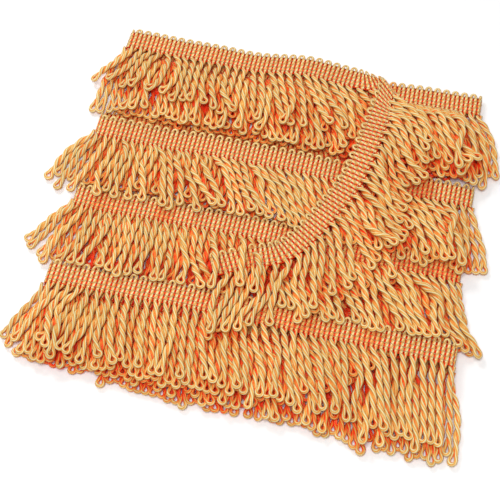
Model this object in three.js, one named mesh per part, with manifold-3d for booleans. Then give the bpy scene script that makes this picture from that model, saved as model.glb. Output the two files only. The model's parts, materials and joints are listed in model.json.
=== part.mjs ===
// A length of looped fringe trim, folded back and forth in four shingled rows, with its last length
// folded over at the upper right and laid across the rows down to a short cut end.
// Millimetres, +Z up, rows along X, ropes towards -Y.
import * as THREE from 'three';
import { mergeVertices } from 'three/addons/utils/BufferGeometryUtils.js';
import Module from 'manifold-3d';

// The trim
const HEADING = 12;
const SHEET = 1.6;
const ROPE = 38;
const SEAM = 0.4;
const STRIP = 1.6;

// Height from one layer of trim to the next
const LAYER = 4.2;

// The rows: y of the heading's back edge, and x of the folds at both ends
const ROWS = [
  { back: 4, left: 1, right: 199 },
  { back: -57, left: 0, right: 203 },
  { back: -102, left: 1, right: 203 },
  { back: -150, left: 2, right: 205 },
];

// Where the trim crosses from one row to the next, under the rows, seen from the right end
const CROSSING_START = 190;
const CROSSING_END = 112;

// Where the back row climbs over the first crossing
const CLIMB_START = 65;
const CLIMB_END = 110;

// The fold at the top of the diagonal length, and how far it runs askew to the strip
const FOLD_X = 148;
const FOLD_SKEW = 5.6;
const SKEW_REACH = 20;

// The diagonal length from its cut end to its fold: middle of the heading, and its underside
const DIAGONAL = [
  { x: 80, y: -136.5, z: 10.6 },
  { x: 97, y: -127.5, z: 10.6 },
  { x: 112, y: -121, z: 10.2 },
  { x: 122, y: -108, z: 9.2 },
  { x: 131, y: -92, z: 8.8 },
  { x: 138.5, y: -74, z: 9.2 },
  { x: 143.5, y: -54, z: 12.4 },
  { x: 146, y: -34, z: 12.6 },
  { x: 148, y: -6, z: 12.6 },
];

const ease = (t) => {
  const c = THREE.MathUtils.clamp(t, 0, 1);
  return c * c * (3 - 2 * c);
};

// A repeatable uneven value from -1 to 1 for rope i
const uneven = (i, kind) => {
  const s = Math.sin((i + 1) * 12.9898 + kind * 78.233) * 43758.5453;
  return 2 * (s - Math.floor(s)) - 1;
};

const climb = (x) => LAYER * ease((x - CLIMB_START) / (CLIMB_END - CLIMB_START));
const across = (x) => ease((CROSSING_START - x) / (CROSSING_START - CROSSING_END));
const bow = (x, depth) => depth * Math.sin((Math.PI * x) / ROWS[0].right);

// How far the lower length of the back row comes forward for each millimetre to the right
const ASKEW = 0.0085;

// How far the heading under row 2 shows behind it: least at the fold on the left
const PEEP_AT_FOLD = 3;
const PEEP = 8.5;
const PEEP_RUN = 30;
const peep = (x) => PEEP_AT_FOLD + (PEEP - PEEP_AT_FOLD) * ease(x / PEEP_RUN);

// The courses in the order in which the strip runs, from the cut end on top to the one below.
// from, to: x where the course starts and ends; back: y of its back edge; under: z of its underside;
// way: side of the ropes, seen along the strip;
// ropes: the stretches that carry ropes, as shares of the course: start and end of the root strip,
// its first and last rope, how many there are, and the y (limit) that they stay behind;
// hang: plan direction of the ropes in degrees, at places along X.
const COURSES = [
  {
    name: 'diagonal', way: -1,
    ropes: [
      { node: 'fringe_tail', start: 0, from: 0.03, to: 0.36, end: 0.365, count: 9 },
      { node: 'fringe_diagonal', start: 0.37, from: 0.375, to: 0.98, end: 1, count: 16 },
    ],
    hang: [{ at: 80, deg: -110 }, { at: 95, deg: -104 }, { at: 112, deg: -90 }, { at: 127, deg: -71 },
      { at: 137, deg: -55 }, { at: 146, deg: -46 }, { at: 154, deg: -41 }],
  },
  {
    name: 'row1_top', way: 1, from: FOLD_X, to: ROWS[0].left,
    back: () => ROWS[0].back,
    under: (x) => LAYER + climb(x),
    ropes: [{ node: 'fringe_row1_top', start: 0, from: 0.04, to: 0.985, end: 1, count: 24 }],
    hang: [{ at: 0, deg: -128 }, { at: 25, deg: -104 }, { at: 70, deg: -82 }, { at: 120, deg: -60 }],
  },
  {
    name: 'row1_under', way: -1, from: ROWS[0].left, to: ROWS[0].right,
    back: (x) => ROWS[0].back - ASKEW * x - bow(x, 3),
    under: climb,
    ropes: [{ node: 'fringe_row1_under', start: 0, from: 0.03, to: 0.985, end: 1, count: 30, limit: -47.9 }],
    hang: [{ at: 0, deg: -118 }, { at: 30, deg: -95 }, { at: 90, deg: -78 }, { at: 150, deg: -56 },
      { at: 200, deg: -52 }],
  },
  {
    name: 'row2_under', way: 1, from: ROWS[0].right, to: ROWS[1].left,
    back: (x) => {
      const start = ROWS[0].back - ASKEW * ROWS[0].right;
      return THREE.MathUtils.lerp(start, ROWS[1].back + peep(x), across(x));
    },
    under: () => 0,
    ropes: [
      { node: 'fringe_crossing_1', start: 0.13, from: 0.14, to: 0.3, end: 0.31, count: 4, limit: -55 },
      { node: 'fringe_row2_under', start: 0.54, from: 0.56, to: 0.985, end: 1, count: 13, limit: -98 },
    ],
    hang: [{ at: 0, deg: -112 }, { at: 20, deg: -96 }, { at: 100, deg: -90 }, { at: 118, deg: -55 }],
  },
  {
    name: 'row2_top', way: -1, from: ROWS[1].left, to: ROWS[1].right,
    back: (x) => ROWS[1].back + bow(x, 0.8),
    under: () => LAYER,
    ropes: [{ node: 'fringe_row2_top', start: 0, from: 0.015, to: 0.985, end: 1, count: 34, limit: -99.5 }],
    hang: [{ at: 0, deg: -128 }, { at: 28, deg: -96 }, { at: 70, deg: -84 }, { at: 110, deg: -60 },
      { at: 200, deg: -50 }],
  },
  {
    name: 'row3_under', way: 1, from: ROWS[1].right, to: ROWS[2].left,
    back: (x) => THREE.MathUtils.lerp(ROWS[1].back, ROWS[2].back + 2, across(x)),
    under: () => 0,
    ropes: [
      { node: 'fringe_crossing_2', start: 0.11, from: 0.12, to: 0.24, end: 0.25, count: 3, limit: -98 },
      { node: 'fringe_row3_under', start: 0.54, from: 0.56, to: 0.985, end: 1, count: 13, limit: -149 },
    ],
    hang: [{ at: 0, deg: -112 }, { at: 20, deg: -96 }, { at: 100, deg: -90 }, { at: 118, deg: -55 }],
  },
  {
    name: 'row3_top', way: -1, from: ROWS[2].left, to: ROWS[2].right,
    back: (x) => ROWS[2].back + bow(x, 0.8),
    under: () => LAYER,
    ropes: [{ node: 'fringe_row3_top', start: 0, from: 0.015, to: 0.985, end: 1, count: 34, limit: -149 }],
    hang: [{ at: 0, deg: -126 }, { at: 30, deg: -104 }, { at: 75, deg: -80 }, { at: 130, deg: -72 },
      { at: 200, deg: -54 }],
  },
  {
    name: 'row4_under', way: 1, from: ROWS[2].right, to: ROWS[3].left,
    back: (x) => THREE.MathUtils.lerp(ROWS[2].back, ROWS[3].back - 2, across(x)),
    under: (x) => LAYER * ease((CROSSING_END - x) / 30),
    ropes: [{ node: 'fringe_row4_under', start: 0.66, from: 0.68, to: 0.985, end: 1, count: 11 }],
    hang: [{ at: 0, deg: -112 }, { at: 40, deg: -86 }, { at: 90, deg: -78 }],
  },
  {
    name: 'row4_top', way: -1, from: ROWS[3].left, to: ROWS[3].right,
    back: (x) => ROWS[3].back + bow(x, 0.8),
    under: () => 2 * LAYER,
    ropes: [{ node: 'fringe_row4_top', start: 0, from: 0.015, to: 0.985, end: 1, count: 35 }],
    hang: [{ at: 0, deg: -120 }, { at: 40, deg: -96 }, { at: 90, deg: -78 }, { at: 150, deg: -70 },
      { at: 205, deg: -64 }],
  },
  {
    name: 'row4_low', way: 1, from: ROWS[3].right, to: ROWS[3].left - 2,
    back: (x) => ROWS[3].back - 2 - 5 * ease((200 - x) / 50),
    under: () => 0,
    ropes: [{ node: 'fringe_row4_low', start: 0, from: 0.02, to: 0.985, end: 1, count: 34 }],
    hang: [{ at: 0, deg: -108 }, { at: 60, deg: -92 }, { at: 120, deg: -80 }, { at: 205, deg: -74 }],
  },
];

// Steps between the cross sections of the heading: along a row, through a crossing and round a fold
const ROW_STEP = 16;
const CROSSING_STEP = 7;
const FOLD_STEPS = 6;
const DIAGONAL_STEPS = 20;

// Change over 2 mm that counts as part of a crossing or a climb
const STEEP = 0.1;

// Middle points of a course
function route(course) {
  if (course.name === 'diagonal') {
    const points = DIAGONAL.map(({ x, y, z }) => new THREE.Vector3(x, y, z + SHEET / 2));
    return new THREE.CatmullRomCurve3(points, false, 'centripetal').getSpacedPoints(DIAGONAL_STEPS);
  }
  const change = (value, x) => Math.abs(value(x - 1) - value(x + 1));
  const steep = (x) => change(course.back, x) > STEEP || change(course.under, x) > STEEP;
  const points = [];
  const sense = Math.sign(course.to - course.from);
  let x = course.from;
  while ((course.to - x) * sense > CROSSING_STEP) {
    points.push(x);
    x += sense * (steep(x + sense * CROSSING_STEP) || steep(x) ? CROSSING_STEP : ROW_STEP);
  }
  points.push(course.to);
  return points.map((at) => {
    const y = course.back(at) - HEADING / 2;
    return new THREE.Vector3(at, y, course.under(at) + SHEET / 2);
  });
}

// Cross sections of a course: its back edge, its root edge and the way its first face looks
function sections(course, index) {
  const points = route(course);
  const last = points.length - 1;
  const skewEnd = { diagonal: last, row1_top: 0 }[course.name];
  return points.map((point, i) => {
    const travel = points[Math.min(i + 1, last)].clone().sub(points[Math.max(i - 1, 0)]);
    travel.setZ(0).normalize();
    const side = new THREE.Vector3(-travel.y, travel.x, 0).multiplyScalar(course.way * HEADING / 2);
    const skew = new THREE.Vector3();
    if (skewEnd !== undefined) {
      const reach = ease(1 - point.distanceTo(points[skewEnd]) / SKEW_REACH);
      skew.copy(travel).multiplyScalar(FOLD_SKEW * reach);
    }
    return {
      back: point.clone().sub(side).add(skew),
      root: point.clone().add(side).sub(skew),
      face: new THREE.Vector3(0, 0, index % 2 ? -1 : 1),
      travel,
    };
  });
}

// Cross sections round the fold between the end of one course and the start of the next
function fold(first, next) {
  const rise = Math.sign(first.back.z - next.back.z);
  const radius = Math.abs(first.back.z - next.back.z) / 2;
  const line = first.root.clone().sub(first.back).setZ(0).normalize();
  const out = new THREE.Vector3(-line.y, line.x, 0);
  if (out.dot(first.travel) < 0) out.negate();
  const turned = [];
  for (let step = 1; step < FOLD_STEPS; step++) {
    const share = step / FOLD_STEPS;
    const angle = Math.PI * share;
    const radial = out.clone().multiplyScalar(Math.sin(angle));
    radial.z = rise * Math.cos(angle);
    const place = (a, b) => a.clone().lerp(b, share).setZ((a.z + b.z) / 2).addScaledVector(radial, radius);
    turned.push({
      back: place(first.back, next.back),
      root: place(first.root, next.root),
      face: radial.clone().multiplyScalar(rise * first.face.z),
    });
  }
  return turned;
}

// Closed mesh data from rings of four corners
function loft(rings) {
  const corners = rings.flat();
  const faces = [[0, 1, 2], [0, 2, 3]];
  for (let ring = 0; ring < rings.length - 1; ring++) {
    for (let side = 0; side < 4; side++) {
      const a = ring * 4 + side;
      const b = ring * 4 + (side + 1) % 4;
      faces.push([a, a + 4, b + 4], [a, b + 4, b]);
    }
  }
  const end = corners.length - 4;
  faces.push([end, end + 2, end + 1], [end, end + 3, end + 2]);
  const volume = faces.reduce((sum, [a, b, c]) => {
    const normal = corners[b].clone().cross(corners[c]);
    return sum + corners[a].dot(normal);
  }, 0);
  if (volume < 0) faces.forEach((face) => face.reverse());
  return { corners, faces };
}

function geometryOf({ corners, faces }) {
  const geometry = new THREE.BufferGeometry();
  const values = corners.flatMap((corner) => corner.toArray());
  geometry.setAttribute('position', new THREE.Float32BufferAttribute(values, 3));
  geometry.setIndex(faces.flat());
  return geometry;
}

// A strip of rectangular section between two edges
function strip(stations, edgeA, edgeB) {
  return loft(stations.map((station) => {
    const half = station.face.clone().multiplyScalar(SHEET / 2);
    const a = edgeA(station);
    const b = edgeB(station);
    return [a.clone().add(half), b.clone().add(half), b.clone().sub(half), a.clone().sub(half)];
  }));
}

const wasm = await Module();
wasm.setup();

function solid(mesh) {
  const geometry = mergeVertices(geometryOf(mesh));
  return new wasm.Manifold(new wasm.Mesh({
    numProp: 3,
    vertProperties: new Float32Array(geometry.attributes.position.array),
    triVerts: new Uint32Array(geometry.index.array),
  }));
}

// Plan direction of the ropes at a place along X
function hangAt(table, x) {
  if (x <= table[0].at) return table[0].deg;
  for (let i = 1; i < table.length; i++) {
    if (x > table[i].at) continue;
    const share = (x - table[i - 1].at) / (table[i].at - table[i - 1].at);
    return THREE.MathUtils.lerp(table[i - 1].deg, table[i].deg, share);
  }
  return table[table.length - 1].deg;
}

// Half width, height and lift of a rope along its length, its loop widest near the tip
const ROPE_SHAPE = [
  { at: 0, half: 0.9, height: 1.0, lift: 0.3 },
  { at: 0.4, half: 1.6, height: 3.2, lift: 0 },
  { at: 0.84, half: 1.95, height: 3.4, lift: 0 },
  { at: 1, half: 1.0, height: 2.2, lift: 0 },
];

// Width of a rope's top as a share of its underside, and how unevenly the ropes swing and end
const CROWN = 0.7;
const SWING = 1.2;
const UNEVEN_END = 1.5;

// One looped rope: flat below, so that a rope on the floor rests level on it
function rope(course, start, index, limit) {
  const swing = uneven(index, 1) * SWING;
  const angle = THREE.MathUtils.degToRad(hangAt(course.hang, start.x) + swing);
  const dir = new THREE.Vector3(Math.cos(angle), Math.sin(angle), 0);
  let length = ROPE - UNEVEN_END + UNEVEN_END * uneven(index, 2);
  if (limit !== undefined) length = Math.min(length, (start.y - limit) / -dir.y);
  const sideways = new THREE.Vector3(-dir.y, dir.x, 0);
  const tip = start.clone().addScaledVector(dir, length);
  const rings = ROPE_SHAPE.map(({ at, half, height, lift }) => {
    const middle = start.clone().addScaledVector(dir, length * at);
    middle.z = start.z - SHEET / 2 + lift;
    if (course.name === 'diagonal') middle.z += restingRise(start, tip, at);
    const wide = sideways.clone().multiplyScalar(half);
    const narrow = sideways.clone().multiplyScalar(half * CROWN);
    const top = middle.clone().setZ(middle.z + height);
    const below = [middle.clone().sub(wide), middle.clone().add(wide)];
    return [...below, top.clone().add(narrow), top.clone().sub(narrow)];
  });
  return loft(rings);
}

// The ropes of the diagonal length come down to the rows, or climb over the front row
const ON_ROWS = 2 * LAYER + 0.4;
const ON_FRONT_ROW = 3 * LAYER + 0.2;
function restingRise(start, tip, at) {
  const under = start.z - SHEET / 2;
  if (tip.y < ROWS[3].back + 2) return (ON_FRONT_ROW - under) * ease(at / 0.4);
  if (start.y > ROWS[1].back + 6) return 0;
  return (Math.min(ON_ROWS, under) - under) * at;
}

// The cross sections from one place along a course to another, given as shares of its length
function stretch(stations, start, end) {
  const runs = [0];
  for (let i = 1; i < stations.length; i++) {
    runs.push(runs[i - 1] + stations[i].root.distanceTo(stations[i - 1].root));
  }
  const whole = runs[runs.length - 1];
  const cut = (share) => {
    const i = Math.max(1, runs.findIndex((run) => run >= share * whole));
    const t = (share * whole - runs[i - 1]) / (runs[i] - runs[i - 1]);
    const mix = (key) => stations[i - 1][key].clone().lerp(stations[i][key], t);
    return { back: mix('back'), root: mix('root'), face: mix('face'), travel: mix('travel').normalize() };
  };
  const between = stations.filter((_, i) => runs[i] > start * whole && runs[i] < end * whole);
  return [cut(start), ...between, cut(end)];
}

// The strip that carries one stretch of ropes, with the ropes fused into it
function fringe(course, stations, { start, from, to, end, count, limit }) {
  const outward = (station, by) => {
    const way = station.root.clone().sub(station.back).setZ(0);
    const square = new THREE.Vector3(-station.travel.y, station.travel.x, 0).multiplyScalar(course.way);
    if (square.dot(way) < 0) square.negate();
    return station.root.clone().addScaledVector(square, by);
  };
  const near = (station) => outward(station, SEAM);
  const far = (station) => outward(station, SEAM + STRIP);
  let joined = solid(strip(stretch(stations, start, end), near, far));
  const middle = stations.map((station) => outward(station, SEAM + STRIP / 2));
  const line = new THREE.CurvePath();
  for (let i = 1; i < middle.length; i++) line.add(new THREE.LineCurve3(middle[i - 1], middle[i]));
  for (let i = 0; i < count; i++) {
    const share = from + (to - from) * ((i + 0.5) / count);
    joined = joined.add(solid(rope(course, line.getPointAt(share), i, limit)));
  }
  const { vertProperties, triVerts } = joined.getMesh();
  const geometry = new THREE.BufferGeometry();
  geometry.setAttribute('position', new THREE.BufferAttribute(new Float32Array(vertProperties), 3));
  geometry.setIndex(new THREE.BufferAttribute(new Uint32Array(triVerts), 1));
  return geometry;
}

const headingYarn = new THREE.MeshStandardMaterial({ color: 0xeab766, roughness: 0.6, metalness: 0 });
const ropeYarn = new THREE.MeshStandardMaterial({ color: 0xedb564, roughness: 0.5, metalness: 0 });

const trim = new THREE.Group();
const courses = COURSES.map((course, index) => ({ course, stations: sections(course, index) }));

// The heading runs through every course and fold as one strip
const whole = courses.flatMap(({ stations }, i) => {
  const next = courses[i + 1];
  return next ? [...stations, ...fold(stations[stations.length - 1], next.stations[0])] : stations;
});
const heading = new THREE.Mesh(geometryOf(strip(whole, (s) => s.back, (s) => s.root)), headingYarn);
heading.name = 'heading';
trim.add(heading);

for (const { course, stations } of courses) {
  for (const piece of course.ropes) {
    const ropes = new THREE.Mesh(fringe(course, stations, piece), ropeYarn);
    ropes.name = piece.node;
    trim.add(ropes);
  }
}

// The origin is under the middle of the bundle
const box = new THREE.Box3().setFromObject(trim);
const middle = box.getCenter(new THREE.Vector3());
trim.position.set(-middle.x, -middle.y, -box.min.z);

export default trim;
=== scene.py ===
"""A length of looped fringe trim, folded back and forth in four shingled rows.

Metres in Blender, millimetres in the tables: MM turns one into the other.
"""
import json
import math

import bpy
import numpy as np
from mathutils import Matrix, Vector

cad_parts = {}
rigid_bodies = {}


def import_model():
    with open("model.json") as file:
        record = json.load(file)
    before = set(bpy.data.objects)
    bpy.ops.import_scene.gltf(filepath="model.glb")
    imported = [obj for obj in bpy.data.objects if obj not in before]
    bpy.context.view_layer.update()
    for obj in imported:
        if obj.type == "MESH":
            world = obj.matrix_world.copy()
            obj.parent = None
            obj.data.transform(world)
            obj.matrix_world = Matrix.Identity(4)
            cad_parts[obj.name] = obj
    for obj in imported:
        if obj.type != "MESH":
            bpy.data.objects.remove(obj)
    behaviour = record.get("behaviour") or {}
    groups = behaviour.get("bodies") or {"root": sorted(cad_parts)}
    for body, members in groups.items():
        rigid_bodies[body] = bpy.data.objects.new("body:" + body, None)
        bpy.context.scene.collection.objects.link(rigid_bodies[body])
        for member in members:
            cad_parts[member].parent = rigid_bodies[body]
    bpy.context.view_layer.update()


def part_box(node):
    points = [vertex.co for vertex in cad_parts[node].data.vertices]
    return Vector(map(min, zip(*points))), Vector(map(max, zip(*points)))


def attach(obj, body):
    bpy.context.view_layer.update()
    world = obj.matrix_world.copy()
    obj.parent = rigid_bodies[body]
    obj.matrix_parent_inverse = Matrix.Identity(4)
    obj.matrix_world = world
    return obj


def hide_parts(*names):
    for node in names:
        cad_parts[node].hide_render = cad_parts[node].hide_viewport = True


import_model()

MM = 0.001

# The trim: the last three are the half thickness of a rope's yarn, of its loop and of the heading's ribs
HEADING = 12.0
SHEET = 1.6
ROPE = 40.0
PITCH = 5.0
LAYER = 4.2
YARN = 1.06
LOOP_YARN = 0.95
RIB = 1.12

# The rows: y of the heading's back edge, and x of the folds at both ends
ROWS = [
    {"back": 4.0, "left": 1.0, "right": 199.0},
    {"back": -57.0, "left": 0.0, "right": 203.0},
    {"back": -102.0, "left": 1.0, "right": 203.0},
    {"back": -150.0, "left": 2.0, "right": 205.0},
]

# Where the trim crosses under the rows to the next one, and where the back row climbs over that.
# The length under row 4 climbs again, over the lowest one, within ROW4_CLIMB of the crossing's end.
CROSSING = (190.0, 112.0)
CLIMB = (65.0, 110.0)
ROW4_CLIMB = 30.0

# How far the lengths under row 4 lie in front of its back edge, and the lowest one's bend to the left
TUCK = 2.0
LOW_SHIFT = 5.0
LOW_BEND = (200.0, 50.0)

# The fold at the top of the diagonal length, how far it runs askew to the strip, and how far the
# strip comes forward towards it
FOLD_X = 148.0
FOLD_SKEW = 5.6
SKEW_REACH = 20.0
FOLD_SAG = 3.0
SAG_FROM = 100.0

# The diagonal length from its cut end to its fold: middle of the heading, and its underside
DIAGONAL = [
    (80, -136.5, 10.6), (97, -127.5, 10.6), (112, -121, 10.2), (122, -108, 9.2), (131, -92, 8.8),
    (138.5, -74, 9.2), (143.5, -54, 12.4), (146, -34, 12.6), (148, -11, 12.6),
]


def ease(t):
    """From 0 to 1 as t does, level at both ends."""
    c = np.clip(t, 0, 1)
    return c * c * (3 - 2 * c)


def climb(x):
    """How far the back row has climbed over the first crossing."""
    return LAYER * ease((x - CLIMB[0]) / (CLIMB[1] - CLIMB[0]))


def crossing(x, first_back, next_back):
    """Back edge of a length that crosses from one row to the next."""
    share = ease((CROSSING[0] - x) / (CROSSING[0] - CROSSING[1]))
    return first_back * (1 - share) + next_back * share


def bow(x, depth):
    """How far a row comes forward, most in its middle."""
    return depth * np.sin(np.pi * x / ROWS[0]["right"])


# Depth of a row's bow, and of the back row's lower length
ROW_BOW = 0.8
BACK_ROW_BOW = 3.0

# How far the lower length of the back row comes forward for each millimetre to the right
ASKEW = 0.0085

# How far the heading under row 2 shows behind it, least at the fold on the left, and under row 3
PEEP_AT_FOLD = 6.5
PEEP = 8.5
PEEP_RUN = 30.0
ROW3_PEEP = 5.0


def peep(x):
    """How far the heading under row 2 shows behind it."""
    return PEEP_AT_FOLD + (PEEP - PEEP_AT_FOLD) * ease(x / PEEP_RUN)


def level(height):
    """Underside of a course that lies flat at this height."""
    return lambda x: 0 * x + height


def bowed(row):
    """Back edge of a row's top course."""
    return lambda x: row["back"] + bow(x, ROW_BOW)


# The courses in the order in which the strip runs, from the cut end on top to the one below.
# way: side of the ropes, seen along the strip; from, to: x where it starts and ends; back, under: its
# back edge and its underside along x; sets: how many ropes share one place; drop: height from which
# they settle; wild: how unevenly they lie, in degrees; hang: plan direction of the ropes in degrees;
# curl: how far they turn to their tips; reach: their length as a share of ROPE.
# A table holds pairs of x and value.
COURSES = [
    {
        "name": "diagonal", "way": -1, "drop": 3, "wild": 4,
        "hang": [(80, -98), (95, -106), (112, -92), (127, -72), (137, -60), (146, -54), (154, -48)],
    },
    {
        "name": "row1_top", "way": 1, "from": FOLD_X, "to": ROWS[0]["left"],
        "back": lambda x: ROWS[0]["back"] - FOLD_SAG * ease((x - SAG_FROM) / (FOLD_X - SAG_FROM)),
        "under": lambda x: LAYER + climb(x),
        "drop": [(95, 6), (118, 1)], "wild": 7,
        "hang": [(0, -130), (8, -122), (18, -98), (26, -72), (36, -74), (48, -84), (70, -80), (90, -66),
                 (140, -49)],
        "curl": [(0, -5), (14, -15), (24, -75), (34, -70), (41, -10), (60, 10), (80, 0)],
        "reach": [(0, 0.78), (20, 0.8), (34, 0.86), (90, 0.92), (148, 0.95)],
    },
    {
        "name": "row1_under", "way": -1, "from": ROWS[0]["left"], "to": ROWS[0]["right"],
        "back": lambda x: ROWS[0]["back"] - ASKEW * x - bow(x, BACK_ROW_BOW),
        "under": climb,
        "sets": 3, "drop": 1, "wild": 6,
        "hang": [(0, -99), (10, -97), (30, -90), (90, -80), (142, -66), (158, -60), (180, -68), (191, -82),
                 (199, -86)],
        "reach": [(0, 1.16), (20, 1.08), (138, 1.05), (158, 1.19), (185, 1.23)],
    },
    {
        "name": "row2_under", "way": 1, "from": ROWS[0]["right"], "to": ROWS[1]["left"],
        "back": lambda x: crossing(x, ROWS[0]["back"] - ASKEW * ROWS[0]["right"], ROWS[1]["back"] + peep(x)),
        "under": level(0),
        "sets": 2, "drop": 1, "wild": 4,
        "hang": [(0, -112), (20, -96), (100, -90), (118, -58), (190, -76)],
    },
    {
        "name": "row2_top", "way": -1, "from": ROWS[1]["left"], "to": ROWS[1]["right"],
        "back": bowed(ROWS[1]),
        "under": level(LAYER),
        "drop": 3, "wild": 5,
        "hang": [(-2, -113), (3, -103), (12, -98), (25, -86), (40, -70), (70, -62), (120, -57), (182, -62),
                 (194, -80), (203, -92)],
        "reach": [(100, 1), (130, 1.08)],
    },
    {
        "name": "row3_under", "way": 1, "from": ROWS[1]["right"], "to": ROWS[2]["left"],
        "back": lambda x: crossing(x, ROWS[1]["back"], ROWS[2]["back"] + ROW3_PEEP),
        "under": level(0),
        "sets": 2, "drop": 1, "wild": 4,
        "hang": [(0, -112), (20, -96), (100, -90), (118, -60), (190, -75)],
    },
    {
        "name": "row3_top", "way": -1, "from": ROWS[2]["left"], "to": ROWS[2]["right"],
        "back": bowed(ROWS[2]),
        "under": level(LAYER),
        "drop": 6, "wild": 5,
        "hang": [(-2, -116), (4, -107), (8, -106), (20, -101), (40, -88), (60, -79), (85, -68), (180, -61),
                 (194, -68), (203, -76)],
        "reach": [(-1, 0.87), (8, 0.97), (95, 1), (125, 1.1)],
    },
    {
        "name": "row4_under", "way": 1, "from": ROWS[2]["right"], "to": ROWS[3]["left"],
        "back": lambda x: crossing(x, ROWS[2]["back"], ROWS[3]["back"] - TUCK),
        "under": lambda x: LAYER * ease((CROSSING[1] - x) / ROW4_CLIMB),
        "sets": 2, "drop": 1, "wild": 5,
        "hang": [(0, -107), (40, -88), (90, -80), (118, -70), (190, -80)],
    },
    {
        "name": "row4_top", "way": -1, "from": ROWS[3]["left"], "to": ROWS[3]["right"],
        "back": bowed(ROWS[3]),
        "under": level(2 * LAYER),
        "drop": 1, "wild": 5,
        "hang": [(0, -105), (10, -105), (24, -96), (40, -86), (90, -77), (150, -71), (185, -74), (205, -88)],
        "reach": [(0, 0.9), (12, 0.95), (45, 0.96), (70, 1), (150, 1.03), (190, 1.1)],
    },
    {
        "name": "row4_low", "way": 1, "from": ROWS[3]["right"], "to": ROWS[3]["left"] - TUCK,
        "back": lambda x: ROWS[3]["back"] - TUCK - LOW_SHIFT * ease((LOW_BEND[0] - x) / LOW_BEND[1]),
        "under": level(0),
        "sets": 2, "drop": 1, "wild": 5,
        "hang": [(0, -108), (25, -98), (60, -88), (120, -78), (185, -76), (205, -88)],
        "reach": [(0, 0.92), (45, 0.93), (70, 1), (140, 1.03), (180, 1.18)],
    },
]

# The bundle's own origin is under its middle: the heading's box in the frame says where that is
heading_low, heading_high = (np.array(corner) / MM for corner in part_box("heading"))
PLACE = np.array([
    heading_high[0] - (2 * LAYER + SHEET) / 2 - ROWS[3]["right"],
    heading_low[1] - (ROWS[3]["back"] - TUCK - LOW_SHIFT - HEADING),
    0.0,
])

# The route of the heading

STEP = 1.25


def smooth_line(points, step):
    """Points a step apart on a Catmull-Rom curve through the given ones."""
    p = np.vstack([2 * points[0] - points[1], points, 2 * points[-1] - points[-2]])
    fine = []
    for a, b, c, d in zip(p[:-3], p[1:-2], p[2:-1], p[3:]):
        t = np.linspace(0, 1, 24, endpoint=False)[:, None]
        fine.append(b + 0.5 * t * (c - a + t * (2 * a - 5 * b + 4 * c - d + t * (3 * (b - c) + d - a))))
    return evenly(np.vstack([*fine, points[-1:]]), step)[0]


def evenly(line, step, *values):
    """The line at even steps, and values of its points at the same places."""
    along = np.concatenate([[0], np.cumsum(np.linalg.norm(np.diff(line, axis=0), axis=1))])
    at = np.linspace(0, along[-1], max(2, round(along[-1] / step) + 1))
    return [np.stack([np.interp(at, along, v[:, k]) for k in range(v.shape[1])], axis=1)
            for v in (line, *values)]


def route(course):
    """Middle points of a course's heading, from where the strip enters it."""
    if course["name"] == "diagonal":
        return smooth_line(np.array(DIAGONAL, float) + [0, 0, SHEET / 2], STEP)
    count = round(abs(course["to"] - course["from"]) / STEP) + 1
    x = np.linspace(course["from"], course["to"], count)
    return np.stack([x, course["back"](x) - HEADING / 2, course["under"](x) + SHEET / 2], axis=1)


def sections(course, index):
    """Back edge, root edge and outer face of the heading along a course."""
    points = route(course)
    travel = np.gradient(points, axis=0)
    travel[:, 2] = 0
    travel /= np.linalg.norm(travel, axis=1)[:, None]
    side = np.stack([-travel[:, 1], travel[:, 0], 0 * travel[:, 0]], axis=1) * course["way"] * HEADING / 2
    skew = 0
    if course["name"] in ("diagonal", "row1_top"):
        end = points[-1] if course["name"] == "diagonal" else points[0]
        skew = travel * (FOLD_SKEW * ease(1 - np.linalg.norm(points - end, axis=1) / SKEW_REACH))[:, None]
    face = np.tile([0.0, 0.0, -1.0 if index % 2 else 1.0], (len(points), 1))
    return {"back": points - side + skew, "root": points + side - skew, "face": face, "travel": travel}


def fold(first, then):
    """The same round the fold between one course and the next."""
    a, b, c, d = first["back"][-1], first["root"][-1], then["back"][0], then["root"][0]
    rise = math.copysign(1, a[2] - c[2])
    radius = abs(a[2] - c[2]) / 2
    line = (b - a) * [1, 1, 0]
    out = np.array([-line[1], line[0], 0]) / np.linalg.norm(line)
    out *= math.copysign(1, out @ first["travel"][-1])
    count = max(4, round(math.pi * radius / STEP))
    share = np.arange(1, count)[:, None] / count
    radial = np.sin(np.pi * share) * out + np.cos(np.pi * share) * [0, 0, rise]

    def place(p, q):
        middle = p + (q - p) * share
        middle[:, 2] = (p[2] + q[2]) / 2
        return middle + radial * radius
    return {"back": place(a, c), "root": place(b, d), "face": radial * rise * first["face"][-1][2]}


parts = [sections(course, i) for i, course in enumerate(COURSES)]
stretches = []
owner = []
for i, part in enumerate(parts):
    stretches.append(part)
    owner += [i] * len(part["back"])
    if i + 1 < len(parts):
        turn = fold(part, parts[i + 1])
        stretches.append(turn)
        owner += [i + 0.5] * len(turn["back"])
edges = [np.vstack([s[key] for s in stretches]) for key in ("back", "root", "face")]
middle_line = (edges[0] + edges[1]) / 2
middle, back_edge, root_edge, face, course_at = evenly(
    middle_line, STEP, *edges, np.array(owner, float)[:, None])
course_at = course_at[:, 0]
across = root_edge - back_edge
across /= np.linalg.norm(across, axis=1)[:, None]
face -= across * (face * across).sum(1)[:, None]
face /= np.linalg.norm(face, axis=1)[:, None]

# A little unevenness, as in a limp braid: depth, length and start of each wave, across it and off it
WAVES_ACROSS = [(0.35, 17.0, 0), (0.25, 7.3, 1)]
WAVES_OFF = [(0.22, 23.0, 2), (0.15, 9.1, 0)]


def waves(table):
    along = np.arange(len(middle)) * STEP
    return sum(depth * np.sin(along / length + start) for depth, length, start in table)[:, None]


middle = middle + across * waves(WAVES_ACROSS)
middle = middle + face * waves(WAVES_OFF)

# The ropes: where each starts, and how it lies

random = np.random.default_rng(7)
per_repeat = round(PITCH / STEP)


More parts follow.
